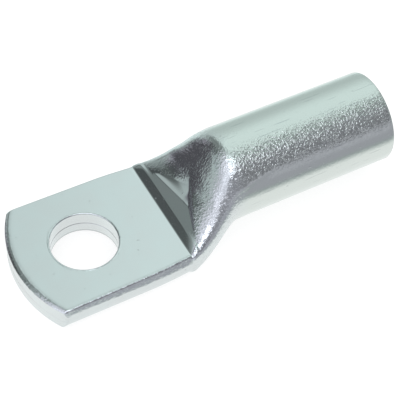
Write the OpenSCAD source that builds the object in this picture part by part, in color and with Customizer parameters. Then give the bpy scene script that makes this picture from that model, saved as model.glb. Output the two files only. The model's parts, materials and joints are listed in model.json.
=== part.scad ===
// Tubular cable lug with a flattened palm, made from one length of tube.
// Frame: origin on the stud hole's axis at the palm's underside, +X along the barrel to its mouth, +Z up.
// Units: millimetres.

/* [Tube] */

// Outside diameter of the tube the lug is pressed from
tube_od = 19; // [17.8:0.1:20]

// Wall thickness of the tube
tube_wall = 2.75; // [2.2:0.05:3.2]

// Distance from the stud hole's axis to the mouth of the barrel
lug_reach = 65; // [55:0.5:80]

// Bevel on the outer edge of the mouth
mouth_outer_break = 0.3; // [0.1:0.05:0.8]

// Bevel on the inner edge of the mouth
mouth_inner_break = 0.4; // [0.1:0.05:1]

/* [Palm] */

// Thickness of the palm, two pressed walls together
palm_thickness = 5.4; // [4.6:0.1:6]

// Width of the palm over its folded edges
palm_width = 27.7; // [27:0.1:29]

// Width of the flat between the rounded folded edges
palm_flat_width = 25.9; // [25:0.1:26.8]

// Distance from the stud hole's axis to the tip of the palm
tip_reach = 14.4; // [11:0.1:18]

// Radius of the sheared arc across the tip
tip_arc_radius = 24.3; // [18:0.1:60]

// Diameter of the stud hole
stud_hole_d = 13.4; // [8:0.1:15]

/* [Neck] */

// Distance from the stud hole's axis to the foot of the pressed step
step_foot_x = 16.8; // [14:0.1:20]

// Height of the pressed step across the palm
step_height = 1.36; // [0.6:0.02:1.8]

// Run of the pressed step along the lug
step_run = 1.36; // [0.8:0.02:2]

// Length of the neck from the foot of the step to the full round
neck_length = 13.7; // [11:0.1:18]

// Distance before the step where the palm's sides begin to draw in
side_draw_run = 8.8; // [5:0.1:9.4]

// Amount the palm's half-width draws in by the foot of the step
side_draw = 0.5; // [0:0.05:0.8]

// Slope of the shelf behind the step, in degrees
shelf_slope = 20; // [8:1:28]

// Depth of the pressed fold's lowest point behind the step
fold_point_run = 4.2; // [3.4:0.1:5]

// Sideways place of the fold's lowest point
fold_point_y = -3.6; // [-5:0.1:-1]

// Distance from the foot of the step to where the fold closes on the centre line
fold_close_run = 6.2; // [5.4:0.1:7.5]

// Half-width of the fold where it starts behind the step
fold_half_width = 10.4; // [8:0.1:11]

/* [Hidden] */

$fn = 96;

// How far cutters reach past what they cut, and how near two places count as one
cut_past = 1;
same_place = 0.001;

// The worked neck and cavity stop this far inside the true round, and run this far into it
ledge = 0.03;
overlap = 0.25;

// Least sideways distance between the fold's break lines
end_gap = 0.3;

tube_r = tube_od / 2;
bore_r = tube_r - tube_wall;
palm_half = palm_width / 2;
flat_half = palm_flat_width / 2;
mid_z = palm_thickness / 2;
neck_end_x = step_foot_x + neck_length;
draw_start_x = step_foot_x - side_draw_run;
step_top_x = step_foot_x + step_run;
step_top_z = palm_thickness + step_height;
fold_start_x = step_top_x + step_run / 2;
fold_start_z = step_top_z + (fold_start_x - step_top_x) * tan(shelf_slope);
fold_point_x = step_foot_x + fold_point_run;
fold_point_z = step_top_z + (fold_point_x - step_top_x) * tan(shelf_slope);
fold_close_x = step_foot_x + fold_close_run;

// Neck laws: [part of the run from the foot of the step to the full round, part of the change made]
width_law = [[0, 0], [0.1, 0.06], [0.15, 0.11], [0.26, 0.23], [0.38, 0.38], [0.47, 0.5], [0.54, 0.6],
    [0.67, 0.79], [0.745, 0.89], [0.82, 0.965], [0.89, 1.005], [1, 1]];
waist_law = [[0, 0], [0.1, 0.045], [0.26, 0.17], [0.38, 0.31], [0.54, 0.52], [0.67, 0.7],
    [0.82, 0.91], [1, 1]];
top_power_law = [[0, 9], [0.1, 5], [0.15, 4.4], [0.26, 3.8], [0.38, 3.9], [0.54, 3.4], [0.67, 2.6],
    [0.82, 2.12], [0.92, 2], [1, 2]];
low_power_law = [[0, 9], [0.1, 7], [0.26, 4.8], [0.46, 3.3], [0.67, 2.45], [0.82, 2.12], [0.92, 2], [1, 2]];

// Rise laws: [part of the run from the fold's start to the full round, part of the rise made]
rise_law = [[0, 0], [0.125, 0.119], [0.357, 0.338], [0.45, 0.47], [0.6, 0.68], [0.7, 0.825], [0.78, 0.92],
    [0.85, 0.972], [0.92, 0.994], [1, 1]];

// Cavity laws: [part of the run, part of the change from the closed slit to the round bore]
cavity_rise_law = [[0, 0], [0.3, 0.17], [0.46, 0.37], [0.65, 0.7], [0.8, 0.92], [0.9, 0.985], [1, 1]];

// Sections cut across the lug, and the points spent on each stretch of one section
shelf_steps = 2;
fold_steps = 8;
round_steps = 11;
side_steps = 12;
low_steps = 8;
cavity_steps = 14;
cavity_points = 48;

function neck_part(x) = (x - step_foot_x) / neck_length;
function rise_part(x) = (x - fold_start_x) / (neck_end_x - fold_start_x);
function blend(a, b, t) = a + (b - a) * t;
function part(x, a, b) = min(1, max(0, (x - a) / (b - a)));

// Half-width, top height, waist height and roundness powers at a section x
function half_at(x) = x <= step_foot_x
    ? palm_half - side_draw * part(x, draw_start_x, step_foot_x)
    : blend(palm_half - side_draw, tube_r - 2 * ledge, lookup(neck_part(x), width_law));
function top_at(x) = x <= step_foot_x
    ? palm_thickness
    : x <= step_top_x
        ? blend(palm_thickness, step_top_z, part(x, step_foot_x, step_top_x))
        : x <= fold_start_x
            ? blend(step_top_z, fold_start_z, part(x, step_top_x, fold_start_x))
            : blend(fold_start_z, tube_od - ledge, lookup(rise_part(x), rise_law));
function floor_at(x) = ledge * part(x, fold_close_x, neck_end_x);
function waist_at(x) = blend(mid_z, tube_r, lookup(neck_part(x), waist_law));
function top_power_at(x) = lookup(neck_part(x), top_power_law);
function low_power_at(x) = lookup(neck_part(x), low_power_law);

// The fold's four break lines across a section: far rim, far valley, near valley, near rim
function rim_at(x) = fold_half_width * (1 - part(x, fold_start_x, fold_close_x));
function far_valley_at(x) = x <= fold_point_x
    ? blend(fold_half_width, fold_point_y, part(x, fold_start_x, fold_point_x))
    : blend(fold_point_y, 0, part(x, fold_point_x, fold_close_x));
function near_valley_at(x) = x <= fold_point_x
    ? blend(-fold_half_width, fold_point_y, part(x, fold_start_x, fold_point_x))
    : blend(fold_point_y, 0, part(x, fold_point_x, fold_close_x));
function far_rim_y(x) = max(rim_at(x), 3 * end_gap);
function near_rim_y(x) = min(-rim_at(x), -3 * end_gap);
function near_valley_y(x) = max(min(near_valley_at(x), -end_gap), near_rim_y(x) + end_gap);
function far_valley_y(x) = max(min(far_valley_at(x), far_rim_y(x) - end_gap), near_valley_y(x) + end_gap);

// Height of the outer skin over a section at sideways place y
function skin_z(x, y) =
    waist_at(x) + (top_at(x) - waist_at(x))
    * pow(1 - pow(abs(y) / half_at(x), top_power_at(x)), 1 / top_power_at(x));
function valley_z(x) = x <= fold_point_x
    ? blend(fold_start_z, fold_point_z, part(x, fold_start_x, fold_point_x))
    : blend(fold_point_z, top_at(fold_close_x), part(x, fold_point_x, fold_close_x));
function rim_z(x, y) = x <= step_foot_x ? palm_thickness : skin_z(x, y);
function fold_z(x, y) = x <= fold_start_x || x >= fold_close_x
    ? rim_z(x, y)
    : min(valley_z(x), skin_z(x, y));

// Palm section at angle a (0 at the waist, 45 at the edge of the flat, 90 on the centre line)
edge_out = palm_half - flat_half;
function edge_part(a) = a < 45 ? tan(a) : 1;
function flat_part(a) = a > 45 ? cos(a) / sin(a) : 1;
function palm_point(x, a, rise) =
    [(half_at(x) - edge_out * pow(edge_part(a), 2)) * flat_part(a), waist_at(x) + rise * edge_part(a)];

// Neck section at the same angles, with its roundness set by a power
function power_reach(a, n) = pow(pow(cos(a), n) + pow(sin(a), n), -1 / n);
function neck_point(x, a, rise, n) =
    [half_at(x) * cos(a) * power_reach(a, n), waist_at(x) + rise * sin(a) * power_reach(a, n)];
function section_point(x, a, rise, n) =
    x < step_foot_x + same_place ? palm_point(x, a, rise) : neck_point(x, a, rise, n);

// Angle at which the upper skin reaches sideways place y
function unit_skin(x, y) = pow(1 - pow(y / half_at(x), top_power_at(x)), 1 / top_power_at(x));
function rim_angle(x, y) = x < step_foot_x + same_place
    ? atan2(half_at(x) - edge_out, y)
    : atan2(unit_skin(x, y), y / half_at(x));

// Far-side stretches: from the waist up to the rim, and from the bottom centre out to the waist
function up_angle(i, last) =
    2 * i <= side_steps ? 90 * i / side_steps : blend(45, last, 2 * i / side_steps - 1);
function side_up(x, i, y_end) =
    section_point(x, up_angle(i, rim_angle(x, y_end)), top_at(x) - waist_at(x), top_power_at(x));
function side_low(x, i) =
    section_point(x, 90 - 90 * i / low_steps, floor_at(x) - waist_at(x), low_power_at(x));

// Whole outline of a section, counter-clockwise seen from the mouth end
function section(x) =
    let (far_rim = far_rim_y(x))
    let (near_rim = near_rim_y(x))
    let (far_valley = far_valley_y(x))
    let (near_valley = near_valley_y(x))
    concat(
        [for (i = [0:low_steps - 1]) side_low(x, i)],
        [for (i = [0:side_steps - 1]) side_up(x, i, far_rim)],
        [[far_rim, rim_z(x, far_rim)]],
        [[far_valley, fold_z(x, far_valley)]],
        [[near_valley, fold_z(x, near_valley)]],
        [[near_rim, rim_z(x, near_rim)]],
        [for (i = [side_steps - 1:-1:0]) let (p = side_up(x, i, -near_rim)) [-p[0], p[1]]],
        [for (i = [low_steps - 1:-1:1]) let (p = side_low(x, i)) [-p[0], p[1]]]
    );

// Where the sections are cut
outer_stations = concat(
    [-tip_reach - cut_past, draw_start_x, step_foot_x],
    [for (i = [1:shelf_steps]) blend(step_foot_x, step_top_x, i / shelf_steps)],
    [for (i = [0:fold_steps - 1]) blend(fold_start_x, fold_close_x, i / fold_steps)],
    [for (i = [0:round_steps]) blend(fold_close_x, neck_end_x, i / round_steps)]
);

// Round cavity section that closes to a slit between the pressed walls
cavity_start_x = step_foot_x + step_run;
function cavity_part(x) = (x - cavity_start_x) / (neck_end_x - cavity_start_x);
cavity_end_r = bore_r - 2 * ledge;
function cavity_half_at(x) =
    blend(palm_half - 2 * tube_wall, cavity_end_r, lookup(cavity_part(x), width_law));
function cavity_rise_at(x) =
    blend(step_height, 2 * cavity_end_r, lookup(cavity_part(x), cavity_rise_law));
function cavity_floor_at(x) = blend(mid_z, tube_r - cavity_end_r, cavity_part(x));
function cavity_section(x) =
    [for (i = [0:cavity_points - 1])
        let (a = 360 * i / cavity_points)
        [cavity_half_at(x) * sin(a),
         cavity_floor_at(x) + cavity_rise_at(x) * (1 - cos(a)) / 2]];
cavity_stations = [for (i = [0:cavity_steps]) blend(cavity_start_x, neck_end_x, i / cavity_steps)];

// Height midway between the lowest and highest points of a section
function section_hub_z(outline) =
    let (heights = [for (p = outline) p[1]])
    (min(heights) + max(heights)) / 2;

// Solid through a list of sections that share one point count
module loft(stations, sections) {
    count = len(sections[0]);
    last = len(stations) - 1;
    rim_points = [for (s = [0:last]) for (p = sections[s]) [stations[s], p[0], p[1]]];
    hubs = [for (s = [0, last]) [stations[s], 0, section_hub_z(sections[s])]];
    points = concat(rim_points, hubs);
    near_hub = len(rim_points);
    far_hub = near_hub + 1;
    sides = [for (s = [0:last - 1]) for (i = [0:count - 1])
        let (j = (i + 1) % count)
        each [[s * count + i, (s + 1) * count + i, (s + 1) * count + j],
              [s * count + i, (s + 1) * count + j, s * count + j]]];
    near_cap = [for (i = [0:count - 1]) [near_hub, i, (i + 1) % count]];
    far_cap = [for (i = [0:count - 1]) [far_hub, last * count + (i + 1) % count, last * count + i]];
    polyhedron(points = points, faces = concat(near_cap, sides, far_cap), convexity = 6);
}

// Palm and neck: the tube worked from the pressed flat into the full round, trimmed to the arc of the tip
module palm_and_neck() {
    arc_x = tip_arc_radius - tip_reach;
    intersection() {
        loft(outer_stations, [for (x = outer_stations) section(x)]);
        translate([0, 0, -cut_past])
            union() {
                translate([arc_x, 0, 0])
                    cylinder(h = tube_od + 2 * cut_past, r = tip_arc_radius);
                translate([arc_x, -tip_arc_radius, 0])
                    cube([neck_end_x, 2 * tip_arc_radius, tube_od + 2 * cut_past]);
            }
    }
}

// Round barrel with its two bevelled edges at the mouth
module barrel() {
    translate([0, 0, tube_r])
        rotate([0, 90, 0])
            rotate_extrude()
                polygon([
                    [0, neck_end_x - overlap],
                    [tube_r, neck_end_x - overlap],
                    [tube_r, lug_reach - mouth_outer_break],
                    [tube_r - mouth_outer_break, lug_reach],
                    [0, lug_reach]
                ]);
}

// Wire bore, its bevel at the mouth, and the cavity that closes inside the neck
module wire_bore() {
    translate([0, 0, tube_r])
        rotate([0, 90, 0])
            rotate_extrude()
                polygon([
                    [0, neck_end_x - overlap],
                    [bore_r, neck_end_x - overlap],
                    [bore_r, lug_reach - mouth_inner_break],
                    [bore_r + mouth_inner_break + cut_past, lug_reach + cut_past],
                    [0, lug_reach + cut_past]
                ]);
    loft(cavity_stations, [for (x = cavity_stations) cavity_section(x)]);
}

module stud_hole() {
    translate([0, 0, -cut_past])
        cylinder(h = palm_thickness + 2 * cut_past, r = stud_hole_d / 2);
}

module lug() {
    color([0.78, 0.81, 0.82])
        difference() {
            union() {
                palm_and_neck();
                barrel();
            }
            wire_bore();
            stud_hole();
        }
}

lug();
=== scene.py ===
"""Tinned copper cable lug on a white studio stage, made from one closed surface."""
import json
import math

import bmesh
import bpy
import numpy as np
from mathutils import Matrix, Vector


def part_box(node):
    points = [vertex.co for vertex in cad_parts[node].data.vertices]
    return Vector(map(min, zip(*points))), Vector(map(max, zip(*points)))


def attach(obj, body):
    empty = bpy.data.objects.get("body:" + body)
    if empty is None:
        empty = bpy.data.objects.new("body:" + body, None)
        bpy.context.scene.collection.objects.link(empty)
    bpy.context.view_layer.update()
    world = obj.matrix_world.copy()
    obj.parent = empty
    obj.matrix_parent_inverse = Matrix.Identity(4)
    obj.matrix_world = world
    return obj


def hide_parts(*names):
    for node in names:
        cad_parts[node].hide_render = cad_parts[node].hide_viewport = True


bl_info = {
    "name": "Cable Lug",
    "version": (1, 0, 0),
    "blender": (4, 5, 0),
    "location": "View3D > Sidebar > Cable Lug",
    "description": "A tinned copper cable lug with a pressed palm, and its studio stage",
    "category": "Object",
}

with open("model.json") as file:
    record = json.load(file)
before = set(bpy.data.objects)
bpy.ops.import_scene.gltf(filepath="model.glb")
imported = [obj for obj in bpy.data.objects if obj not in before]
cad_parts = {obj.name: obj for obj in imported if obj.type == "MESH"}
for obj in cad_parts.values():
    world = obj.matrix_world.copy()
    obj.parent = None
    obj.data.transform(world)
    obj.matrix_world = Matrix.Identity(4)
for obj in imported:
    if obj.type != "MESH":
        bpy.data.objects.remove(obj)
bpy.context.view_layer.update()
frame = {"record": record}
MM = 0.001
LOW, HIGH = (np.array(corner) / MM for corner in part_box("lug"))
MOUNTS = {mount["name"]: mount for mount in frame["record"]["mounts"]}


def size(name, default, about, low=0.0, high=200.0):
    """A length in millimetres that a user may change."""
    return bpy.props.FloatProperty(
        name=name, default=float(default), description=about, min=low, max=high, precision=3
    )


def tint(name, default, about):
    """A linear colour that a user may change."""
    return bpy.props.FloatVectorProperty(
        name=name, default=default, description=about, subtype="COLOR", size=3, min=0.0, max=2.0
    )


def share(name, default, about, high=1.0):
    """A plain number that a user may change."""
    return bpy.props.FloatProperty(
        name=name, default=default, description=about, min=0.0, max=high, precision=3
    )


class LugSizes(bpy.types.PropertyGroup):
    """Sizes of the lug in millimetres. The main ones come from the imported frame."""

    tube_radius: size("Tube radius", HIGH[2] / 2, "Outside radius of the round barrel")
    bore_radius: size("Bore radius", MOUNTS["wire_bore"]["dims"]["r_mm"], "Radius of the wire bore")
    reach: size("Reach", HIGH[0], "Stud hole's axis to the mouth of the barrel")
    tip: size("Tip", -LOW[0], "Stud hole's axis to the tip of the palm")
    tip_arc: size("Tip arc", 24.3, "Radius of the sheared arc across the tip")
    corner: size("Tip corner", 0.9, "Radius that breaks the tip's two corners")
    palm_half: size("Palm half-width", HIGH[1], "Half the palm's width over its folded edges")
    fold_inset: size("Fold inset", 1.1, "Folded edge's bulge beyond the flat underside")
    fold_lean: share("Fold lean", 0.40, "Sideways run of the folded edge's upper part per millimetre up")
    fold_high: size("Fold height at tip", 4.25, "Height where the folded edge starts to lean in, at the tip")
    fold_low: size("Fold height at step", 3.6, "Height where the folded edge starts to lean in, at the step")
    fold_round: size("Fold rounding", 0.55, "Radius between the folded edge and the palm's top")
    thickness: size("Palm thickness", MOUNTS["stud_hole"]["dims"]["length_mm"], "Two walls together")
    hole_radius: size("Hole radius", MOUNTS["stud_hole"]["dims"]["r_mm"], "Radius of the stud hole")
    hole_roll: size("Hole roll", 0.32, "Width of the drawn-in edge round the hole's top")
    tip_roll: size("Tip roll", 1.5, "Width of the drawn-down edge along the sheared tip")
    tip_drop: size("Tip drop", 0.55, "Depth of the drawn-down edge along the sheared tip")
    seam: size("Seam height", 2.43, "Height of the seam between the two pressed walls")
    seam_depth: size("Seam depth", 0.09, "Depth of the seam line in the cut faces")
    foot: size("Step foot", 16.8, "Stud hole's axis to the foot of the pressed step")
    step: size("Step", 1.36, "Height and run of the pressed step")
    shelf_slope: share("Shelf slope", 20.0, "Slope of the shelf behind the step in degrees", 60.0)
    neck: size("Neck", 13.7, "Foot of the step to the full round")
    ridge: size("Shoulder ridge", 0.16, "Height of the faint ridge below the near shoulder")
    draw: size("Side draw", 0.5, "How far the palm's sides draw in by the step")
    outer_break: size("Outer break", 0.3, "Bevel on the outer edge of the mouth")
    inner_break: size("Inner break", 0.4, "Bevel on the inner edge of the mouth")


class LugFinish(bpy.types.PropertyGroup):
    """Colours and textures of the plating."""

    tin: tint("Tin", (0.80, 0.84, 0.845), "Colour of the bright tin plating")
    tin_warm: tint("Tin, warm", (0.80, 0.825, 0.83), "Colour of the plating where it is a little greyer")
    tin_green: tint("Tin, barrel", (0.80, 0.84, 0.81), "Colour of the plating on the round barrel")
    dull: tint("Dull tin", (0.50, 0.53, 0.55), "Colour of specks and of the fine lines on the barrel")
    # Painted shade: this dark colour stands in for the dark that the seam's groove and the mouth's and hole's
    # rims reflect.
    painted_shade: tint("Seam shade", (0.16, 0.17, 0.18), "Colour of the painted shade in the seam and on the mouth's and hole's rims")
    polish: share("Roughness", 0.12, "Roughness of the pressed faces")
    frost: share("Frost", 0.16, "Extra roughness of the frosted flecks on the free-formed tube")
    cut_matt: share("Cut roughness", 0.12, "Extra roughness of the cut faces")
    peel: share("Peel", 0.048, "Depth of the orange peel on the free-formed tube in millimetres")
    peel_size: size("Peel size", 0.50, "Size of one grain of the orange peel")
    scratch: share("Scratches", 0.0015, "Depth of the drawing lines along the tube in millimetres")


class StageLook(bpy.types.PropertyGroup):
    """Brightness of the studio around the lug."""

    panel: share("Panel", 0.80, "Brightness of the broad panel over the far side", 4.0)
    key: share("Key", 1.6, "Brightness of the small key panel above the camera", 10.0)
    glow: share("Glow", 0.72, "Brightness of the wall lit by the key panel", 4.0)
    room: share("Room", 0.27, "Brightness of the room behind the camera", 4.0)
    shade: share("Shade", 0.22, "Brightness of the wall past the tip", 4.0)
    gloom: share("Gloom", 0.08, "Brightness of the unlit corner past the tip", 4.0)
    back_wall: share("Back wall", 0.44, "Brightness of the far wall near the horizon", 4.0)
    end_wall: share("End wall", 0.34, "Brightness of the wall past the mouth", 4.0)
    ground: share("Ground", 0.88, "Brightness of the white table in the plating", 4.0)
    near_mouth: share("Near table, mouth", 0.38, "Table's near side by the mouth, at the horizon", 4.0)
    near_tip: share("Near table, tip", 0.96, "Table's near side by the tip, at the horizon", 4.0)
    far_mouth: share("Far table, mouth", 0.58, "Table's far side by the mouth, at the horizon", 4.0)
    far_tip: share("Far table, tip", 0.72, "Table's far side by the tip, at the horizon", 4.0)
    light_tint: tint("Light tint", (0.86, 1.0, 0.985), "Colour of the panels")
    room_tint: tint("Room tint", (0.98, 0.965, 1.10), "Colour of the room near the horizon")
    ground_tint: tint("Ground tint", (0.97, 1.0, 0.995), "Colour of the table in the plating")
    table: tint("Table", (0.38, 0.38, 0.38), "Colour of the table top under the lug")
    table_light: share("Table light", 0.76, "Light that the table top adds of its own", 4.0)
    lens: size("Lens", 118.97, "Focal length of the camera", 10.0, 400.0)


# ---------------------------------------------------------------- shape


def curve(stops, x):
    """Monotone cubic through (place, value) stops: slopes are averaged harmonically at each stop."""
    px, py = np.array(stops, float).T
    run = np.diff(px)
    slope = np.diff(py) / run
    lean = np.concatenate([slope[:1], np.zeros(len(px) - 2), slope[-1:]])
    same_way = slope[:-1] * slope[1:] > 0
    w1, w2 = 2 * run[1:] + run[:-1], run[1:] + 2 * run[:-1]
    safe_a, safe_b = np.where(same_way, slope[:-1], 1), np.where(same_way, slope[1:], 1)
    lean[1:-1] = np.where(same_way, (w1 + w2) / (w1 / safe_a + w2 / safe_b), 0)
    i = np.clip(np.searchsorted(px, x) - 1, 0, len(run) - 1)
    t = np.clip((x - px[i]) / run[i], 0, 1)
    return (
        (1 + 2 * t) * (1 - t) ** 2 * py[i]
        + t * (1 - t) ** 2 * run[i] * lean[i]
        + t * t * (3 - 2 * t) * py[i + 1]
        + t * t * (t - 1) * run[i] * lean[i + 1]
    )


def soften(values, pitch, width):
    """Values on an even grid, averaged under a bell curve of the given width, ends held."""
    reach = int(math.ceil(4 * width / pitch))
    bell = np.exp(-0.5 * (np.arange(-reach, reach + 1) * pitch / width) ** 2)
    padded = np.pad(values, reach, mode="edge")
    return np.convolve(padded, bell / bell.sum(), mode="valid")


def ease(t):
    """Smooth step from 0 to 1."""
    t = np.clip(t, 0, 1)
    return t * t * (3 - 2 * t)


def between(x, start, end):
    """Smooth step that is 0 at the start and 1 at the end. The end may be the lower of the two."""
    return ease((x - start) / (end - start))


def lower_of(a, b, k):
    """Rounded minimum: half the sum less half the root of the squared difference plus k squared."""
    return 0.5 * (a + b - np.sqrt((a - b) ** 2 + k * k))


def higher_of(a, b, k):
    """Rounded maximum, the mirror of lower_of."""
    return 0.5 * (a + b + np.sqrt((a - b) ** 2 + k * k))


def plane_through(p, q, r, x, y):
    """Height over (x, y) of the plane through three points."""
    n = np.cross(np.subtract(q, p), np.subtract(r, p))
    return p[2] - (n[0] * (x - p[0]) + n[1] * (y - p[1])) / n[2]


# Each law has (share of the neck's length, value) stops. Powers are those of the section's superellipse.
WIDTH_LAW = [(0, 0), (0.1, 0.06), (0.15, 0.11), (0.26, 0.23), (0.38, 0.38), (0.47, 0.5), (0.54, 0.6),
             (0.67, 0.79), (0.745, 0.89), (0.82, 0.965), (0.89, 1.003), (1, 1)]
WAIST_LAW = [(0, 0), (0.1, 0.045), (0.26, 0.17), (0.38, 0.31), (0.54, 0.52), (0.67, 0.7), (0.82, 0.91),
             (1, 1)]
TOP_POWER = [(0, 9), (0.1, 5), (0.15, 4.4), (0.26, 3.3), (0.38, 2.9), (0.54, 2.5), (0.67, 2.2),
             (0.82, 2.05), (0.92, 2), (1, 2)]
LOW_POWER = [(0, 9), (0.1, 7), (0.26, 4.8), (0.46, 3.3), (0.67, 2.45), (0.82, 2.12), (0.92, 2), (1, 2)]
RISE_LAW = [(0, 0), (0.125, 0.119), (0.357, 0.338), (0.45, 0.47), (0.6, 0.68), (0.7, 0.825), (0.78, 0.92),
            (0.85, 0.972), (0.92, 0.994), (1, 1)]
CAVITY_RISE = [(0, 0), (0.3, 0.17), (0.46, 0.37), (0.65, 0.7), (0.8, 0.92), (0.9, 0.985), (1, 1)]


class Laws:
    """How the lug's section changes along its length, worked out once on an even grid of stations."""

    PITCH = 0.02  # between stations
    MARGIN = 2  # of stations past each end
    DRAW_RUN = 8.8  # stretch before the step where the palm's sides draw in
    SHELF_REACH = 20  # length of the sloping line that the shelf follows
    STEP_SOFT = 0.09  # bell widths that round the step, the section's powers, the top and the sides
    POWER_SOFT = 0.25
    TOP_SOFT = 0.3
    SIDE_SOFT = 0.35
    MEET = 3  # either side of the step, where the step's line and the neck's top line meet
    MEET_BLEND = 0.07

    def __init__(self, s):
        self.s = s
        x = self.x = np.arange(-s.tip - self.MARGIN, s.reach + self.MARGIN, self.PITCH)
        part = (x - s.foot) / s.neck
        mid = s.thickness / 2
        drawn = np.minimum(2 * ease((x - s.foot + self.DRAW_RUN) / (2 * self.DRAW_RUN)), 1)
        widening = (s.tube_radius - s.palm_half + s.draw) * np.where(part > 0, curve(WIDTH_LAW, part), 0)
        half = s.palm_half - s.draw * drawn + widening
        waist = mid + (s.tube_radius - mid) * np.where(part > 0, curve(WAIST_LAW, part), 0)
        self.half = soften(half, self.PITCH, self.SIDE_SOFT)
        self.waist = soften(waist, self.PITCH, self.SIDE_SOFT)
        self.top_power = soften(curve(TOP_POWER, part), self.PITCH, self.POWER_SOFT)
        self.low_power = soften(curve(LOW_POWER, part), self.PITCH, self.POWER_SOFT)
        self.shelf_x = s.foot + 1.5 * s.step
        slope = math.tan(math.radians(s.shelf_slope))
        shelf_z = s.thickness + s.step * (1 + 0.5 * slope)
        shelf = slope * np.clip(x - s.foot - s.step, 0, self.SHELF_REACH)
        ramp = s.thickness + np.clip(x - s.foot, 0, s.step) + shelf
        self.ramp = soften(ramp, self.PITCH, self.STEP_SOFT)
        rise_part = (x - self.shelf_x) / (s.foot + s.neck - self.shelf_x)
        first = RISE_LAW[1][1] / RISE_LAW[1][0]
        rise = np.where(rise_part > 0, curve(RISE_LAW, rise_part), rise_part * first)
        skin = soften(shelf_z + (2 * s.tube_radius - shelf_z) * rise, self.PITCH, self.TOP_SOFT)
        top = np.where(x < s.foot - self.MEET, s.thickness, higher_of(self.ramp, skin, self.MEET_BLEND))
        top = np.where(x > self.shelf_x + self.MEET, skin, top)
        self.top = np.minimum(top, 2 * s.tube_radius)

    def at(self, name, x):
        """One law read at stations x."""
        return np.interp(x, self.x, getattr(self, name))


def tip_edge(s, y):
    """Where the sheared tip lies at sideways place y: an arc, with each corner broken by a small circle."""
    centre = s.tip_arc - s.tip
    arc = centre - np.sqrt(s.tip_arc**2 - y * y)
    corner_y = s.palm_half - s.corner
    corner_x = centre - math.sqrt((s.tip_arc - s.corner) ** 2 - corner_y**2)
    meet_y = corner_y * s.tip_arc / (s.tip_arc - s.corner)
    inside = np.clip(s.corner**2 - (np.abs(y) - corner_y) ** 2, 0, None)
    return np.where(np.abs(y) > meet_y, corner_x - np.sqrt(inside), arc)


class Pocket:
    """The pocket pressed behind the step. Places are along the lug, or (along, across), in millimetres."""

    BOTTOM = (4.17, -3.6)  # deepest corner of the fold, from the foot
    PEAK = 6.2  # where both facets reach the neck's top line, from the foot
    FAR_END = (0.0, 9.9)  # ends of the two valleys, from the shelf's start
    NEAR_END = (-0.5, -11.6)
    FACET_BLEND = 0.10
    START = -1.2  # from the shelf's start
    END = 9  # from the foot
    EDGE_BLEND = 0.001  # rounding where the pocket's floor cuts the skin, and how it grows along the shelf
    SHELF_BLEND = 0.06
    SHELF_BLEND_RUN = (0.3, 1.2)
    CROWN_BLEND = 0.8  # softer rounding over the far part of the fold
    CROWN_IN = (2.8, 5.0)
    CROWN_OUT = (8.6, 6.2)
    CROWN_ACROSS = (-3.4, -1.0)
    NEAR_SKIN = (-0.06, 0.24)  # floor's height over the skin from which the skin counts as free-formed
    FREE_START = (-0.2, 0.3)  # from the shelf's start

    @classmethod
    def floor(cls, s, laws, x, y):
        """The shelf, and two facets that rise from the far and near valleys to one point."""
        slope = math.tan(math.radians(s.shelf_slope))

        def on_shelf(along, across):
            return (along, across, s.thickness + s.step + slope * (along - s.foot - s.step))

        bottom = on_shelf(s.foot + cls.BOTTOM[0], cls.BOTTOM[1])
        far = on_shelf(laws.shelf_x + cls.FAR_END[0], cls.FAR_END[1])
        near = on_shelf(laws.shelf_x + cls.NEAR_END[0], cls.NEAR_END[1])
        peak_x = s.foot + cls.PEAK
        peak = (peak_x, 0.0, float(laws.at("top", peak_x)))
        facet_far = plane_through(far, bottom, peak, x, y)
        facet_near = plane_through(near, bottom, peak, x, y)
        facets = higher_of(facet_far, facet_near, cls.FACET_BLEND)
        return higher_of(laws.at("ramp", x), facets, cls.FACET_BLEND)

    @classmethod
    def press(cls, s, laws, x, y, z):
        """Height of the skin once pressed, and the share of it that stays free-formed."""
        floor = cls.floor(s, laws, x, y)
        along, past_shelf = x - s.foot, x - laws.shelf_x
        inside = (past_shelf > cls.START) & (along < cls.END)
        crown = between(along, *cls.CROWN_IN) * between(along, *cls.CROWN_OUT)
        blend = cls.EDGE_BLEND + cls.SHELF_BLEND * between(past_shelf, *cls.SHELF_BLEND_RUN)
        blend += cls.CROWN_BLEND * crown * between(y, *cls.CROWN_ACROSS)
        free = np.where(inside, between(floor - z, *cls.NEAR_SKIN), 1) * between(past_shelf, *cls.FREE_START)
        return np.where(inside, lower_of(z, floor, blend), z), free


class Ridge:
    """Faint ridge that runs down below the near shoulder. Turns are degrees from the top towards -Y."""

    TURN = 64
    TURN_DROP = 13  # lost over RUN from START on, and within REACH of it
    START = 12.4
    RUN = 8.3
    REACH = (-0.5, 1.2)
    ABOVE, BELOW = 0.62, 0.30  # widths of the ridge's two flanks
    FADE_IN = (9.5, 14.5)
    FADE_OUT = (24, 16)

    @classmethod
    def lift(cls, s, along, turn):
        """Height of the ridge over the skin."""
        middle = cls.TURN - cls.TURN_DROP * np.clip((along - cls.START) / cls.RUN, *cls.REACH)
        side = np.radians(turn - middle) * s.tube_radius
        height = np.exp(-0.5 * (side / np.where(side < 0, cls.ABOVE, cls.BELOW)) ** 2)
        return height * s.ridge * between(along, *cls.FADE_IN) * between(along, *cls.FADE_OUT)


def power_reach(c, z, n):
    """Distance to a superellipse of power n along the direction (c, z)."""
    return (np.abs(c) ** n + np.abs(z) ** n) ** (-1 / n)


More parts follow.
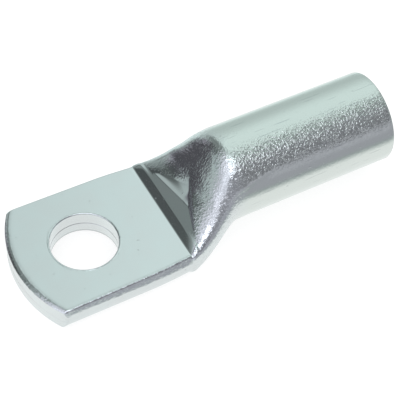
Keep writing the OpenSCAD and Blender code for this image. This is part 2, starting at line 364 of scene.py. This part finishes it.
class Skin:
    """The outer surface as a function of station and of place round the section.
    A loop of columns runs up the far side, over the top, down the near side and back under the lug."""

    WINDOW = 7.5  # half-width of the square window that the stud hole's ring fills
    ARC_START = 0.70  # share of a side's upper half where it starts to round into the flat top
    HINGE_BLEND = 0.3464  # rounding of the bend where a folded edge starts to lean in
    TIP_ROWS = 24
    TIP_CROWDING = 1.6
    # Stretches from the step's foot: palm into neck, pressed face into free-formed skin, neck into barrel
    TO_NECK = (-0.7, 0.7)
    TO_FREE = (-0.5, 0.7)
    TO_BARREL = (10, 15)
    # The folded edges' crease: its strength, and its start and end up a side's upper half
    CREASE = 0.8
    CREASE_RISE = (0.15, 0.45)
    # The coarse band along the barrel, in degrees from the top towards -Y, and the calmer skin by the fold
    BAND_IN = (2, 16)
    BAND_OUT = (62, 50)
    BAND_GAIN = 0.5
    OFF_BAND_LOSS = 0.8
    CALM_ACROSS = (-7, -3)
    CALM_ALONG = (12, 8)
    CALM_LOSS = 0.5

    def __init__(self, s, across=128, across_window=80, up=24):
        self.s = s
        self.laws = Laws(s)
        edge = (across - across_window) // 2
        q = self.window_share = self.WINDOW / (s.palm_half - s.fold_inset)
        self.t = np.concatenate([
            np.linspace(1, q, edge, endpoint=False),
            np.linspace(q, -q, across_window, endpoint=False),
            np.linspace(-q, -1, edge + 1),
        ])
        self.e = np.linspace(-1, 1, 2 * up + 1)
        self.up, self.across = up, across
        self.count = 4 * up + 2 * across
        self.low_start = 4 * up + across
        self.window_columns = (2 * up + edge, 2 * up + edge + across_window)
        self.columns = {
            "far": slice(0, 2 * up), "top": slice(2 * up, 2 * up + across),
            "near": slice(2 * up + across, self.low_start), "low": slice(self.low_start, self.count),
        }
        self.lean = math.atan(s.fold_lean)
        self.tangent = s.fold_round * math.tan(math.pi / 4 - self.lean / 2)

    def spread(self, t, reach):
        """Sideways place on the flat for share t: the window keeps its size and the rest meets the reach."""
        q = self.window_share
        rest = self.WINDOW + (reach - self.WINDOW) * (np.abs(t) - q) / (1 - q)
        return np.where(np.abs(t) <= q, t * self.WINDOW / q, np.sign(t) * rest)

    def folded_edge(self, e, half, waist, hinge, flat_half):
        """Side of the palm for share e of its height: bulged below, then upright, leaning, and rounded."""
        s = self.s
        straight = s.thickness - self.tangent * math.cos(self.lean) - waist
        climb = waist + straight * np.clip(e / self.ARC_START, 0, 1)
        leaned = half - s.fold_lean * higher_of(climb - hinge, 0, self.HINGE_BLEND)
        tilt = (math.pi / 2 - self.lean) * np.clip((1 - e) / (1 - self.ARC_START), 0, 1)
        on_arc = e > self.ARC_START
        y = np.where(on_arc, flat_half + s.fold_round * np.sin(tilt), leaned)
        z = np.where(on_arc, s.thickness - s.fold_round * (1 - np.cos(tilt)), climb)
        below = e < 0
        return np.where(below, half - s.fold_inset * e * e, y), np.where(below, waist + waist * e, z)

    def places(self, x):
        """Sideways place, height, and shares of free-formed skin and of round barrel, for rows of stations.
        A station may differ from column to column, so x has one value for each column of the loop."""
        s, laws = self.s, self.laws
        along = x - s.foot
        half, waist, top = laws.at("half", x), laws.at("waist", x), laws.at("top", x)
        top_power, low_power = laws.at("top_power", x), laws.at("low_power", x)
        soft = between(along, *self.TO_NECK)
        worked = between(along, *self.TO_FREE)
        y, z = np.zeros_like(x), np.zeros_like(x)
        hinge = s.fold_high + (s.fold_low - s.fold_high) * ease((x + s.tip) / (s.foot + s.tip))
        flat_half = half - s.fold_lean * (s.thickness - hinge) - self.tangent

        def set_columns(c, sign, cos, sin, rise, power, flat_y, flat_z):
            """Columns c, from their flat places into the superellipse of the neck and barrel."""
            reach = power_reach(cos, sin, power)
            round_y = half[:, c] * cos * reach
            round_z = waist[:, c] + rise * sin * reach
            y[:, c] = sign * (flat_y + (round_y - flat_y) * soft[:, c])
            z[:, c] = flat_z + (round_z - flat_z) * soft[:, c]

        for name, sign in (("far", 1.0), ("near", -1.0)):
            c = self.columns[name]
            e = (self.e if sign > 0 else self.e[::-1])[:-1][None, :]
            turn = np.arctan(e)
            power = np.where(e >= 0, top_power[:, c], low_power[:, c])
            rise = np.where(e >= 0, top[:, c] - waist[:, c], waist[:, c])
            flat = self.folded_edge(e, half[:, c], waist[:, c], hinge[:, c], flat_half[:, c])
            set_columns(c, sign, np.cos(turn), np.sin(turn), rise, power, *flat)
            creased = between(e, *self.CREASE_RISE) * (1 - soft[:, c])
            worked[:, c] = np.maximum(worked[:, c], self.CREASE * creased)
        for name, upper in (("top", True), ("low", False)):
            c = self.columns[name]
            t = (self.t if upper else self.t[::-1])[:-1][None, :]
            turn = np.arctan2(1.0, t)
            rise = (top - waist if upper else -waist)[:, c]
            power = (top_power if upper else low_power)[:, c]
            flat_y = self.spread(t, flat_half[:, c] if upper else half[:, c] - s.fold_inset)
            set_columns(c, 1.0, np.cos(turn), np.sin(turn), rise, power, flat_y, waist[:, c] + rise)

        c = self.columns["top"]
        z[:, c], free = Pocket.press(s, laws, x[:, c], y[:, c], z[:, c])
        worked[:, c] *= free
        turn = np.degrees(np.arctan2(-y, z - s.tube_radius))
        lift = Ridge.lift(s, along, turn)
        y = y - lift * np.sin(np.radians(turn))
        z = z + lift * np.cos(np.radians(turn))
        band = between(turn, *self.BAND_IN) * between(turn, *self.BAND_OUT)
        barrel = between(along, *self.TO_BARREL)
        calm = between(y, *self.CALM_ACROSS) * between(along, *self.CALM_ALONG)
        worked *= 1 - barrel * (1 - band) * self.OFF_BAND_LOSS
        worked *= 1 - calm * self.CALM_LOSS
        worked *= 1 + self.BAND_GAIN * barrel * band
        return y, z, worked, barrel

    def stations(self):
        """Stations from the window's start to the mouth's bevel, closer together where the shape turns."""
        s = self.s
        stretches = {
            "window": (self.WINDOW, 34), "palm": (s.foot - 1.2, 10), "step": (s.foot + 2.4, 42),
            "fold": (s.foot + 6.8, 32), "neck": (s.foot + s.neck + 0.8, 34),
            "barrel": (s.reach - s.outer_break, 30),
        }
        rows = [[-self.WINDOW]]
        for end, count in stretches.values():
            rows.append(np.linspace(rows[-1][-1], end, count)[1:])
        return np.concatenate(rows)

    def tip_rows(self):
        """Share of the way from the sheared edge to the window, closer together at the edge."""
        return np.linspace(0, 1, self.TIP_ROWS)[:-1] ** self.TIP_CROWDING


def grid_faces(rows, cols, closed):
    """Quads of a grid whose columns run anticlockwise and rows run away, facing outwards."""
    i, j = np.meshgrid(np.arange(rows - 1), np.arange(cols if closed else cols - 1), indexing="ij")
    k = (j + 1) % cols
    return np.stack([i * cols + j, i * cols + k, (i + 1) * cols + k, (i + 1) * cols + j], -1)


# Marks are four shares for each point, kept as attributes of the mesh for the plating to read
# The seam mark carries painted shade: it darkens the seam line, the mouth's outer rim and the hole's lower
# rim.
MARKS = ("worked", "cut", "seam", "barrel")
WORKED, CUT, SEAM_SHADE, BARREL = range(len(MARKS))
SEAM_HALF = 0.09  # half the seam line's width


def blank_marks(points):
    """All four marks at 0 for each point."""
    return np.zeros((*points.shape[:-1], len(MARKS)))


def outer_skin(s, skin):
    """Rows of the outside from the tip to the mouth, their marks, and the window's first and last row."""
    roll_power, roll_peel, peel_gain = 2.6, 0.7, 6
    body = skin.stations()
    first = np.full((1, skin.count), body[0])
    edge = tip_edge(s, skin.places(first)[0])
    tip_rows = edge + (first - edge) * skin.tip_rows()[:, None]
    x = np.concatenate([tip_rows, np.repeat(body[:, None], skin.count, 1)])
    y, z, worked, barrel = skin.places(x)
    # The shear draws the top edge down along the tip
    from_edge = x - tip_edge(s, np.clip(y, -s.palm_half, s.palm_half))
    drawn = np.clip(1 - from_edge / s.tip_roll, 0, 1) ** roll_power
    high = np.clip(2 * z / s.thickness - 1, 0, 1)
    z = z - np.where(x < 0, s.tip_drop * drawn * high, 0)
    points = np.stack([x, y, z], -1)
    marks = blank_marks(points)
    marks[..., WORKED] = np.maximum(worked, np.where(x < 0, roll_peel * ease(drawn * peel_gain) * high, 0))
    marks[..., BARREL] = barrel
    start = len(tip_rows)
    return points, marks, (start, start + int(np.argmin(np.abs(body - skin.WINDOW))))


def mouth_and_bore(s, turn):
    """Rings from the mouth's outer bevel over its end face and inner bevel down the bore to the neck."""
    face_rings, bore_rings, bulge = 5, 14, 0.16
    face = np.linspace(s.tube_radius - s.outer_break, s.bore_radius + s.inner_break, face_rings)
    bore = np.linspace(s.reach - s.inner_break, s.foot + s.neck, bore_rings)
    x = np.concatenate([[s.reach - s.outer_break / 2], np.full(face_rings, s.reach), bore])
    r = np.concatenate([
        [s.tube_radius - s.outer_break * bulge], face, np.full(bore_rings, s.bore_radius)
    ])[:, None]
    points = np.stack([
        np.repeat(x[:, None], len(turn), 1), r * np.cos(turn), s.tube_radius + r * np.sin(turn)
    ], -1)
    marks = blank_marks(points)
    cut = [0.3] + [1.0] * face_rings + [0.6] + [0.4] * (bore_rings - 1)
    marks[..., CUT] = np.array(cut)[:, None]
    # Painted shade: a dark line on the mouth's outer rim.
    marks[:2, :, SEAM_SHADE] = 0.5
    return points, marks


def cavity(s, turn):
    """Rings from the bore's end down to the slit under the step, shrunk to a point there."""
    rings, closing = 18, [0.6, 0.2, 0.0]
    start, wall = s.foot + s.step, s.tube_radius - s.bore_radius
    x = np.linspace(s.foot + s.neck, start, rings)[1:]
    part = (x - start) / (s.foot + s.neck - start)
    slit = s.palm_half - 2 * wall
    half = slit + (s.bore_radius - slit) * curve(WIDTH_LAW, part)
    rise = s.step + (2 * s.bore_radius - s.step) * curve(CAVITY_RISE, part)
    floor = s.thickness / 2 + (wall - s.thickness / 2) * part
    shrink = np.concatenate([np.ones(len(x)), closing])[:, None]
    x, half, rise, floor = (
        np.concatenate([a, np.repeat(a[-1:], len(closing))])[:, None] for a in (x, half, rise, floor)
    )
    points = np.stack([
        np.repeat(x, len(turn), 1),
        half * shrink * np.cos(turn),
        floor + rise * (1 + shrink * np.sin(turn)) / 2,
    ], -1)
    marks = blank_marks(points)
    marks[..., CUT] = 0.4
    return points, marks


def tip_face(s, skin, border):
    """Sheared face across the tip, ruled from its top edge down to its bottom edge, with the seam's line."""
    levels_each, line_share, seam_line_shade = 6, 0.3, 0.12
    low_first = skin.low_start - 1
    top_path = np.arange(skin.up, 3 * skin.up + skin.across + 1)
    low_path = np.concatenate([
        np.arange(skin.up, -1, -1),
        np.arange(skin.count - 1, low_first, -1),
        np.arange(low_first, 3 * skin.up + skin.across - 1, -1),
    ])
    upper, lower = border[top_path], border[low_path]
    levels = np.concatenate([
        np.linspace(s.thickness, s.seam + SEAM_HALF, levels_each), [s.seam],
        np.linspace(s.seam - SEAM_HALF, 0, levels_each),
    ]) / s.thickness
    face = lower + (upper - lower) * levels[:, None, None]
    span = (upper[:, 2] - lower[:, 2]) / s.thickness
    face[levels_each, :, 0] += s.seam_depth * line_share * ease(span * 2)
    marks = blank_marks(face)
    marks[..., CUT] = 1
    # Painted shade along the seam's line on the sheared face.
    marks[levels_each, :, SEAM_SHADE] = seam_line_shade
    return face, grid_faces(len(face), len(upper), False)[..., ::-1], marks


def hole_ring(s, edge):
    """Ring round the stud hole: the window's edge, flat, rolled rim, wall with its seam, and underside."""
    flat_rings, roll_rings, wall_rings = 9, 7, 6
    roll_peel, roll_flat, rim_shade = 0.6, 0.8, 0.5
    low_break, low_mid = 0.14, 0.04
    turn = np.arctan2(edge[:, 1], edge[:, 0])
    circle = np.stack([np.cos(turn), np.sin(turn)], -1)
    rim = s.hole_radius + s.hole_roll
    q = np.linspace(0, math.pi / 2, roll_rings)
    roll_r = rim - s.hole_roll * np.sin(q)
    roll_z = s.thickness - s.hole_roll * roll_flat * (1 - np.cos(q))
    wall_z = np.concatenate([
        np.linspace(roll_z[-1], s.seam + SEAM_HALF, wall_rings)[1:], [s.seam],
        np.linspace(s.seam - SEAM_HALF, low_break, wall_rings),
    ])
    wall_r = np.full(len(wall_z), s.hole_radius)
    wall_r[wall_rings - 1] += s.seam_depth
    low_r = s.hole_radius + np.array([low_mid, low_break])
    radii = np.concatenate([roll_r, wall_r, low_r])
    heights = np.concatenate([roll_z, wall_z, [low_mid, 0.0]])
    v = np.linspace(0, 1, flat_rings + 1)[:-1, None, None]
    top_flat = edge + (circle * rim - edge) * v
    low_flat = (edge + (circle * low_r[-1] - edge) * v)[::-1]
    xy = np.concatenate([top_flat, circle * radii[:, None, None], low_flat])
    z = np.concatenate([np.full(flat_rings, s.thickness), heights, np.zeros(flat_rings)])
    ring = np.concatenate([xy, np.repeat(z[:, None, None], len(turn), 1)], -1)
    marks = blank_marks(ring)
    wall = flat_rings + roll_rings
    wall_end = wall + len(wall_z)
    marks[flat_rings:wall, :, WORKED] = roll_peel
    marks[wall:wall_end, :, CUT] = 1
    # Painted shade along the seam's line in the hole's wall, and a painted dark line round the hole's lower
    # rim.
    marks[wall + wall_rings - 1, :, SEAM_SHADE] = 1
    marks[wall_end - 1:wall_end + 1, :, SEAM_SHADE] = rim_shade
    return ring, grid_faces(len(ring), len(turn), True), marks


def lug_surface(s):
    """Every block of the lug as (points, quads, marks), in millimetres."""
    skin = Skin(s)
    w = skin.WINDOW
    outer, outer_marks, (first, last) = outer_skin(s, skin)
    turn = np.arctan2(outer[-1, :, 2] - s.tube_radius, outer[-1, :, 1])
    bore, bore_marks = mouth_and_bore(s, turn)
    inside, inside_marks = cavity(s, turn)
    points = np.concatenate([outer, bore, inside])
    marks = np.concatenate([outer_marks, bore_marks, inside_marks])
    quads = grid_faces(len(points), skin.count, True)
    keep = np.ones(quads.shape[:2], bool)
    start, end = skin.window_columns
    under = skin.low_start + start - 2 * skin.up
    keep[first:last, start:end] = False
    keep[first:last, under:under + end - start] = False

    # The window's edge, round from its +X side
    across, along = outer[first, start:end + 1, 1], outer[first:last + 1, 0, 0]
    edge = np.concatenate([
        np.stack([np.full(len(across) - 1, w), across[::-1][:-1]], -1),
        np.stack([along[::-1][:-1], np.full(len(along) - 1, w)], -1),
        np.stack([np.full(len(across) - 1, -w), across[:-1]], -1),
        np.stack([along[:-1], np.full(len(along) - 1, -w)], -1),
    ])
    return [(points, quads[keep], marks), tip_face(s, skin, outer[0]), hole_ring(s, edge)]


def solid_from(blocks, name):
    """One closed mesh in metres from all blocks, with the borders that coincide merged."""
    merge, least, sharp = 2e-7, 1e-8, math.radians(38)
    points, quads, marks, base = [], [], [], 0
    for block_points, faces, block_marks in blocks:
        points.append(block_points.reshape(-1, 3) * MM)
        quads.append(faces.reshape(-1, 4) + base)
        marks.append(block_marks.reshape(-1, len(MARKS)))
        base += len(points[-1])
    points, quads, marks = np.concatenate(points), np.concatenate(quads), np.concatenate(marks)
    mesh = bpy.data.meshes.new(name)
    mesh.from_pydata(points, [], quads.tolist())
    for at, label in enumerate(MARKS):
        values = marks[:, at].astype(np.float32)
        mesh.attributes.new(label, "FLOAT", "POINT").data.foreach_set("value", values)
    whole = bmesh.new()
    whole.from_mesh(mesh)
    bmesh.ops.remove_doubles(whole, verts=whole.verts, dist=merge)
    bmesh.ops.dissolve_degenerate(whole, dist=least, edges=whole.edges)
    if any(len(edge.link_faces) != 2 for edge in whole.edges):
        raise RuntimeError("The lug's surface is not closed")
    whole.to_mesh(mesh)
    whole.free()
    mesh.shade_smooth()
    mesh.set_sharp_from_angle(angle=sharp)
    return mesh


# ---------------------------------------------------------------- materials


class Socket:
    """An output or number in a node tree. Its operators add Math nodes."""

    def __init__(self, tree, value):
        self.tree, self.value = tree, value

    def _math(self, operation, *others):
        n = self.tree.nodes.new("ShaderNodeMath")
        n.operation = operation
        for slot, item in enumerate((self, *others)):
            item = item.value if isinstance(item, Socket) else item
            if isinstance(item, bpy.types.NodeSocket):
                self.tree.links.new(item, n.inputs[slot])
            else:
                n.inputs[slot].default_value = item
        return Socket(self.tree, n.outputs[0])

    def __add__(self, other):
        return self._math("ADD", other)

    def __sub__(self, other):
        return self._math("SUBTRACT", other)

    def __mul__(self, other):
        return self._math("MULTIPLY", other)

    def __radd__(self, other):
        return Socket(self.tree, other)._math("ADD", self)

    def __rsub__(self, other):
        return Socket(self.tree, other)._math("SUBTRACT", self)

    def __rmul__(self, other):
        return Socket(self.tree, other)._math("MULTIPLY", self)

    def high(self, other):
        return self._math("MAXIMUM", other)

    def ramp(self, start, end):
        """A smooth change from 0 to 1 as this goes from start to end."""
        return node(self.tree, "ShaderNodeMapRange", {"interpolation_type": "SMOOTHSTEP"},
                    {"Value": self, "From Min": start, "From Max": end, "To Min": 0.0, "To Max": 1.0})


def node(tree, kind, settings=None, inputs=None, output=0):
    """Any node: its settings are set first, then its inputs are given values or links."""
    n = tree.nodes.new(kind)
    for key, value in (settings or {}).items():
        setattr(n, key, value)
    for key, value in (inputs or {}).items():
        value = value.value if isinstance(value, Socket) else value
        if isinstance(value, bpy.types.NodeSocket):
            tree.links.new(value, n.inputs[key])
        else:
            n.inputs[key].default_value = value
    return Socket(tree, n.outputs[output])


def mix_colour(tree, factor, a, b):
    """Colour a where factor is 0, and colour b where it is 1."""
    n = tree.nodes.new("ShaderNodeMix")
    n.data_type = "RGBA"
    for slot, value in ((0, factor), (6, a), (7, b)):
        value = value.value if isinstance(value, Socket) else value
        if isinstance(value, bpy.types.NodeSocket):
            tree.links.new(value, n.inputs[slot])
        else:
            n.inputs[slot].default_value = (*value, 1.0)
    return Socket(tree, n.outputs[2])


def noise(tree, place, grain, detail=1.0, rough=0.5, stretch=None):
    """Noise with grains of the given length in millimetres, drawn out where a stretch is below 1."""
    if stretch:
        place = node(tree, "ShaderNodeVectorMath", {"operation": "MULTIPLY"}, {0: place, 1: stretch})
    return node(tree, "ShaderNodeTexNoise", {"noise_dimensions": "3D"},
                {"Vector": place, "Scale": 1 / (grain * MM), "Detail": detail, "Roughness": rough})


def tinned_copper(finish):
    """Bright tin over copper: orange peel where the tube moved freely, drawing lines along it, smooth pressed
    faces with a few specks, greyer cut faces, and painted shade along the seam line and the rims of the mouth
    and the hole."""
    material = bpy.data.materials.new("tinned_copper")
    material.use_nodes = True
    tree = material.node_tree
    shader = tree.nodes["Principled BSDF"]
    place = node(tree, "ShaderNodeTexCoord", output=3)
    worked, cut, seam, barrel = (
        node(tree, "ShaderNodeAttribute", {"attribute_name": label}, output=2) for label in MARKS
    )
    grain = finish.peel_size
    cloud_grain, cloud_rough = 6.0, 0.02
    speck_grain, speck_tint, speck_depth = 0.7, 0.25, 0.02
    line_grain, line_tint, line_depth, line_stretch = 0.34, 0.5, 0.006, (0.05, 1.0, 1.0)
    drawn_grain, cut_depth, drawn_stretch = 0.10, 0.004, (0.02, 1.0, 1.0)
    pebble_depth, wide_depth, seam_shade_strength = 0.5, 1.2, 0.85

    peel = noise(tree, place, grain, rough=0.6)
    wide = noise(tree, place, grain / 0.3)
    pebble = noise(tree, place, grain / 1.1, rough=0.6).ramp(0.45, 0.68)
    frost = noise(tree, place, grain / 0.8).ramp(0.52, 0.68)
    drawn = noise(tree, place, drawn_grain, 2.0, stretch=drawn_stretch)
    cloud = noise(tree, place, cloud_grain, 3.0, 0.6)
    specks = noise(tree, place, speck_grain, rough=0.4).ramp(0.74, 0.80)
    line = noise(tree, place, line_grain, stretch=line_stretch).ramp(0.68, 0.73) * barrel

    colour = mix_colour(tree, cloud.ramp(0.35, 0.65), tuple(finish.tin), tuple(finish.tin_warm))
    colour = mix_colour(tree, barrel, colour, tuple(finish.tin_green))
    colour = mix_colour(tree, specks * speck_tint + line * line_tint, colour, tuple(finish.dull))
    # Painted shade: the seam mark darkens the seam line and the rims of the mouth and hole towards the dark
    # seam colour.
    colour = mix_colour(tree, seam * seam_shade_strength, colour, tuple(finish.painted_shade))
    tree.links.new(colour.value, shader.inputs["Base Color"])
    rough = finish.polish + worked * frost * finish.frost + cut * finish.cut_matt + cloud * cloud_rough
    tree.links.new(rough.value, shader.inputs["Roughness"])
    grains = peel * finish.peel + pebble * (finish.peel * pebble_depth) + wide * (finish.peel * wide_depth)
    height = worked * (grains + drawn * finish.scratch) + cut * drawn * cut_depth
    height = height - line * line_depth + specks * speck_depth
    bump = node(tree, "ShaderNodeBump", None, {"Strength": 1.0, "Distance": MM, "Height": height})
    tree.links.new(bump.value, shader.inputs["Normal"])
    shader.inputs["Metallic"].default_value = 1.0
    return material


# ---------------------------------------------------------------- stage


def over(base, value, cover):
    """One brightness laid over another by a cover from 0 to 1."""
    return base + (value - base) * cover


# Patches of direction: degrees away from straight up towards +X and +Y, then the inner and outer angles
TIP_GLOW = (-84, 24, 12, 26)
END_WALL = (58, -4, 8, 28)
KEY_HEAD = (-2, -25, 13, 20)
KEY_TAIL = (-20, -24, 13, 20)
KEY_SPILL = (-58, -14, 5, 13)
GLOOM_HIGH = (-52, 46, 8, 16)
GLOOM_MIDDLE = (-72, 62, 12, 21)
GLOOM_LOW = (-66, 84, 12, 30)
VIOLET = (-62, 66, 12, 24)


def near(way, lean_x, lean_y, inner, outer):
    """Cover that is 1 within the inner angle of a patch's direction and 0 past the outer one."""
    lean = math.hypot(lean_x, lean_y)
    flat = math.sin(math.radians(lean)) / lean
    unit = (lean_x * flat, lean_y * flat, math.cos(math.radians(lean)))
    dot = node(way.tree, "ShaderNodeVectorMath", {"operation": "DOT_PRODUCT"}, {0: way, 1: unit}, output=1)
    return dot.ramp(math.cos(math.radians(outer)), math.cos(math.radians(inner)))


def room_level(look, x, z):
    """Brightness of the dim room: lighter near the horizon, and towards the tip."""
    low = over(look.room * 1.15, look.room * 1.85, x.ramp(0.0, 0.33))
    low = over(low, look.room * 2.1, x.ramp(0.0, -0.5))
    middle = over(look.room * 1.1, look.room * 0.75, x.ramp(0.0, 0.35) * z.ramp(0.80, 0.55))
    return over(middle, low, z.ramp(0.35, 0.03))


def panel_level(look, x, y, z):
    """Brightness of the broad panel: it falls off towards the far end and the horizon."""
    level = over(look.panel * 0.86, look.panel * 1.04, (x - y * 0.7).ramp(-0.30, -0.02))
    return over(level, look.panel * 0.72, z.ramp(0.75, 0.10))


def table_level(look, x, y, z):
    """Brightness of the white table in the plating: the near and far sides, each darker by the mouth."""
    near_side = over(look.near_mouth, look.near_tip, x.ramp(0.45, -0.95))
    near_side = over(near_side, look.ground, z.ramp(-0.35, -0.60))
    far_side = over(look.far_mouth, look.far_tip, x.ramp(0.3, -0.1))
    far_side = over(far_side, look.ground * 1.08, z.ramp(-0.05, -0.5))
    return over(near_side, far_side, y.ramp(-0.3, 0.3))


def studio_level(look, way, x, y, z):
    """Brightness in every direction: room, walls, panels and key above the horizon, and the table below."""
    far_half = y.ramp(-0.1, 0.1)
    wall_by_tip = x.ramp(0.0, -0.2) * y.ramp(0.44, 0.02) * y.ramp(-0.80, -0.45)
    far_and_low = y.ramp(0.3, 0.6) * z.ramp(0.50, 0.12)
    panel = x.ramp(-0.24, 0.18) * y.ramp(-0.13, 0.01)
    below = z.ramp(0.07, -0.03)
    key = near(way, *KEY_HEAD).high(near(way, *KEY_TAIL)).high(near(way, *KEY_SPILL) * 0.45)
    corner = near(way, *GLOOM_HIGH).high(near(way, *GLOOM_MIDDLE)).high(near(way, *GLOOM_LOW))
    level = over(room_level(look, x, z), look.shade, far_half)
    level = over(level, look.glow, wall_by_tip)
    level = over(level, look.back_wall, far_and_low)
    level = over(level, panel_level(look, x, y, z), panel)
    level = over(level, look.glow * 0.72, near(way, *TIP_GLOW))
    level = over(level, look.end_wall, near(way, *END_WALL))
    level = over(level, look.key, key)
    level = over(level, table_level(look, x, y, z), below)
    return over(level, look.gloom, corner)


def studio_tint(look, tree, way, x, y, z):
    """Colour of the light in every direction: cool from the panels, violet from the room near the horizon."""
    by_tip = x.ramp(-0.05, -0.40) * y.ramp(0.3, 0.1)
    violet = (y.ramp(-0.05, -0.6) * 0.8).high(by_tip * 0.8) * z.ramp(-0.5, -0.2)
    violet = violet.high(near(way, *VIOLET))
    colour = mix_colour(tree, violet, look.light_tint, look.room_tint)
    return mix_colour(tree, z.ramp(-0.3, -0.6), colour.value, look.ground_tint)


def studio_world(look):
    """Plain soft studio: a broad panel over the far side, a key panel above the camera, a dim room, a white
    table. Each is a smooth patch of directions, and the camera itself sees white."""
    world = bpy.data.worlds.new("studio")
    world.use_nodes = True
    tree = world.node_tree
    tree.nodes.clear()
    way = node(tree, "ShaderNodeTexCoord", output=0)
    split = tree.nodes.new("ShaderNodeSeparateXYZ")
    tree.links.new(way.value, split.inputs[0])
    x, y, z = (Socket(tree, out) for out in split.outputs)
    level = studio_level(look, way, x, y, z)
    colour = studio_tint(look, tree, way, x, y, z)
    scaled = node(tree, "ShaderNodeVectorMath", {"operation": "SCALE"}, {0: colour, "Scale": level})
    studio = tree.nodes.new("ShaderNodeBackground")
    tree.links.new(scaled.value, studio.inputs[0])
    white = tree.nodes.new("ShaderNodeBackground")
    white.inputs[0].default_value = (1, 1, 1, 1)
    mix = tree.nodes.new("ShaderNodeMixShader")
    glossy = node(tree, "ShaderNodeLightPath", output=3)
    tree.links.new(glossy.value, mix.inputs[0])
    tree.links.new(white.outputs[0], mix.inputs[1])
    tree.links.new(studio.outputs[0], mix.inputs[2])
    out = tree.nodes.new("ShaderNodeOutputWorld")
    tree.links.new(mix.outputs[0], out.inputs[0])
    bpy.context.scene.world = world


def make_floor(look):
    """A wide white table top just under the lug, which keeps the lug's soft shadow."""
    rim, centre_x, gap, lines = 0.6, 0.025, 0.00002, 9
    steps = np.linspace(-rim, rim, lines)
    x, y = np.meshgrid(steps + centre_x, steps, indexing="ij")
    points = np.stack([x, y, np.full_like(x, -gap)], -1).reshape(-1, 3)
    mesh = bpy.data.meshes.new("table_top")
    quads = grid_faces(lines, lines, False).reshape(-1, 4)[:, ::-1]
    mesh.from_pydata(points, [], quads.tolist())
    floor = bpy.data.objects.new("table_top", mesh)
    bpy.context.scene.collection.objects.link(floor)
    material = bpy.data.materials.new("white_table")
    material.use_nodes = True
    shader = material.node_tree.nodes["Principled BSDF"]
    shader.inputs["Base Color"].default_value = (*look.table, 1)
    shader.inputs["Roughness"].default_value = 0.9
    shader.inputs["Specular IOR Level"].default_value = 0.0
    shader.inputs["Emission Color"].default_value = (1, 1, 1, 1)
    shader.inputs["Emission Strength"].default_value = look.table_light
    mesh.materials.append(material)
    floor.visible_glossy = False
    return floor


def make_camera(look):
    """The camera above the near side, looking down the lug at the stud hole."""
    azimuth, elevation, roll = (math.radians(angle) for angle in (-31.963, 51.019, 4.064))
    place = Vector((-62.528, -141.250, 209.430)) * MM
    level = math.cos(elevation)
    back = Vector((math.sin(azimuth) * level, -math.cos(azimuth) * level, math.sin(elevation)))
    right = Vector((math.cos(azimuth), math.sin(azimuth), 0))
    up = back.cross(right)
    right_rolled = right * math.cos(roll) + up * math.sin(roll)
    up_rolled = up * math.cos(roll) - right * math.sin(roll)
    data = bpy.data.cameras.new("camera")
    data.lens, data.sensor_width, data.clip_start = look.lens, 36.0, 0.01
    camera = bpy.data.objects.new("camera", data)
    turn = Matrix((right_rolled, up_rolled, back)).transposed().to_4x4()
    camera.matrix_world = Matrix.Translation(place) @ turn
    bpy.context.scene.collection.objects.link(camera)
    bpy.context.scene.camera = camera


# ---------------------------------------------------------------- operators


class LUG_OT_make_lug(bpy.types.Operator):
    """Builds the whole lug as one closed surface with its plating"""

    bl_idname = "lug.make_lug"
    bl_label = "Make lug"

    def execute(self, context):
        scene = context.scene
        mesh = solid_from(lug_surface(scene.lug_sizes), "lug_skin")
        lug = bpy.data.objects.new("lug_skin", mesh)
        scene.collection.objects.link(lug)
        mesh.materials.append(tinned_copper(scene.lug_finish))
        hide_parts("lug")
        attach(lug, "root")
        return {"FINISHED"}


class LUG_OT_make_stage(bpy.types.Operator):
    """Builds the table top, the studio light and the camera"""

    bl_idname = "lug.make_stage"
    bl_label = "Make stage"

    def execute(self, context):
        look = context.scene.lug_stage
        studio_world(look)
        make_floor(look)
        make_camera(look)
        context.scene.view_settings.view_transform = "Standard"
        return {"FINISHED"}


class LUG_PT_panel(bpy.types.Panel):
    """Sizes, finish and stage of the cable lug"""

    bl_idname = "LUG_PT_panel"
    bl_label = "Cable Lug"
    bl_space_type = "VIEW_3D"
    bl_region_type = "UI"
    bl_category = "Cable Lug"

    def draw(self, context):
        column = self.layout.column()
        for group in (context.scene.lug_sizes, context.scene.lug_finish, context.scene.lug_stage):
            for name in group.__annotations__:
                column.prop(group, name)
        column.operator(LUG_OT_make_lug.bl_idname)
        column.operator(LUG_OT_make_stage.bl_idname)


CLASSES = (LugSizes, LugFinish, StageLook, LUG_OT_make_lug, LUG_OT_make_stage, LUG_PT_panel)


def register():
    for item in CLASSES:
        bpy.utils.register_class(item)
    bpy.types.Scene.lug_sizes = bpy.props.PointerProperty(type=LugSizes)
    bpy.types.Scene.lug_finish = bpy.props.PointerProperty(type=LugFinish)
    bpy.types.Scene.lug_stage = bpy.props.PointerProperty(type=StageLook)


def unregister():
    for name in ("lug_sizes", "lug_finish", "lug_stage"):
        delattr(bpy.types.Scene, name)
    for item in reversed(CLASSES):
        bpy.utils.unregister_class(item)


def main():
    """Registers the add-on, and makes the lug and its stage."""
    register()
    bpy.ops.lug.make_lug()
    bpy.ops.lug.make_stage()


if __name__ == "__main__":
    main()
